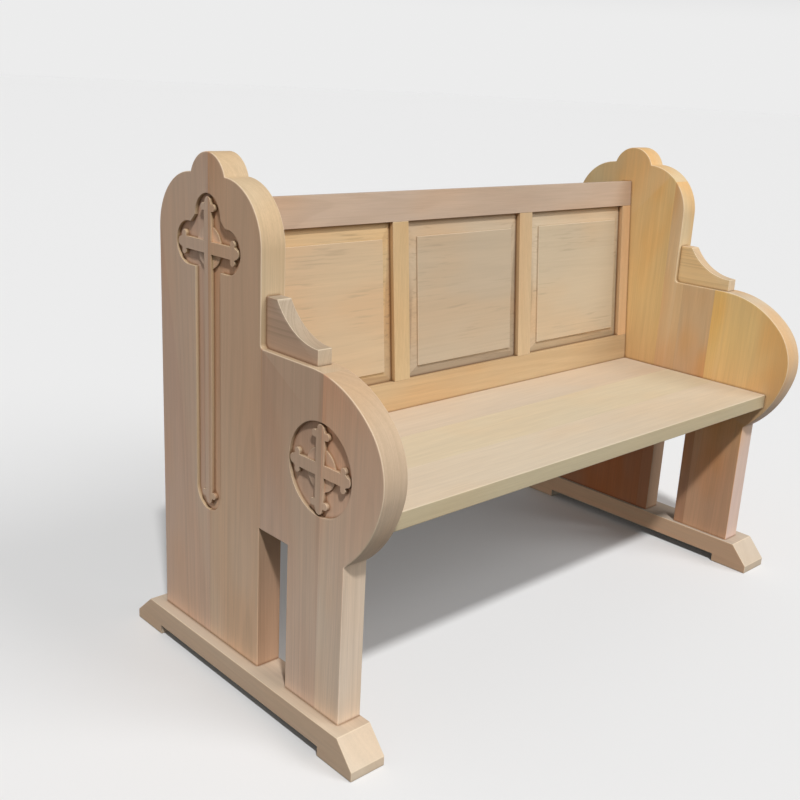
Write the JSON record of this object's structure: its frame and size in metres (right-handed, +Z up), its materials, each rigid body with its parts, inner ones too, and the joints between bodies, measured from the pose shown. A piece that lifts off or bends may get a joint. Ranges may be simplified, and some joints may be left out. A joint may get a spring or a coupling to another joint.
{
  "type": "church pew",
  "caption": "Free-standing wooden church pew: solid ends with lobed uprights and carved crosses, scrolled arms, a panelled back and a plank seat.",
  "frame": {"origin": "on the floor, under the middle of the pew's overall box", "axes": "+Z up, +X along the length, -Y is the way a sitter faces"},
  "size_m": [1.336, 0.718, 0.9789],
  "materials": {
    "end_wood": "sanded, unvarnished",
    "seat_wood": "sanded, unvarnished",
    "rail_wood": "sanded, unvarnished",
    "panel_wood": "sanded, unvarnished",
    "hidden_wood": "sawn",
    "screw_steel": "zinc plated"
  },
  "bodies": {
    "root": {"left_rear_stave": "end_wood", "left_upright_stave": "end_wood", "left_middle_stave": "end_wood", "left_front_stave": "end_wood", "left_stave_dowels": "hidden_wood", "right_rear_stave": "end_wood", "right_upright_stave": "end_wood", "right_middle_stave": "end_wood", "right_front_stave": "end_wood", "right_stave_dowels": "hidden_wood", "left_foot_rail": "end_wood", "right_foot_rail": "end_wood", "left_foot_screws": "screw_steel", "right_foot_screws": "screw_steel", "left_scroll_bracket": "end_wood", "right_scroll_bracket": "end_wood", "left_bracket_dowels": "hidden_wood", "right_bracket_dowels": "hidden_wood", "seat_front_plank": "seat_wood", "seat_middle_plank": "seat_wood", "seat_rear_plank": "seat_wood", "seat_dowels": "hidden_wood", "left_seat_cleat": "hidden_wood", "right_seat_cleat": "hidden_wood", "left_cleat_screws": "screw_steel", "right_cleat_screws": "screw_steel", "seat_ledger": "hidden_wood", "seat_screws": "screw_steel", "ledger_screws": "screw_steel", "back_top_rail": "rail_wood", "back_bottom_rail": "rail_wood", "back_left_stile": "rail_wood", "back_right_stile": "rail_wood", "back_left_muntin": "rail_wood", "back_right_muntin": "rail_wood", "back_left_panel": "panel_wood", "back_centre_panel": "panel_wood", "back_right_panel": "panel_wood", "left_back_batten": "hidden_wood", "right_back_batten": "hidden_wood", "left_batten_screws": "screw_steel", "right_batten_screws": "screw_steel"}
  },
  "joints": []
}
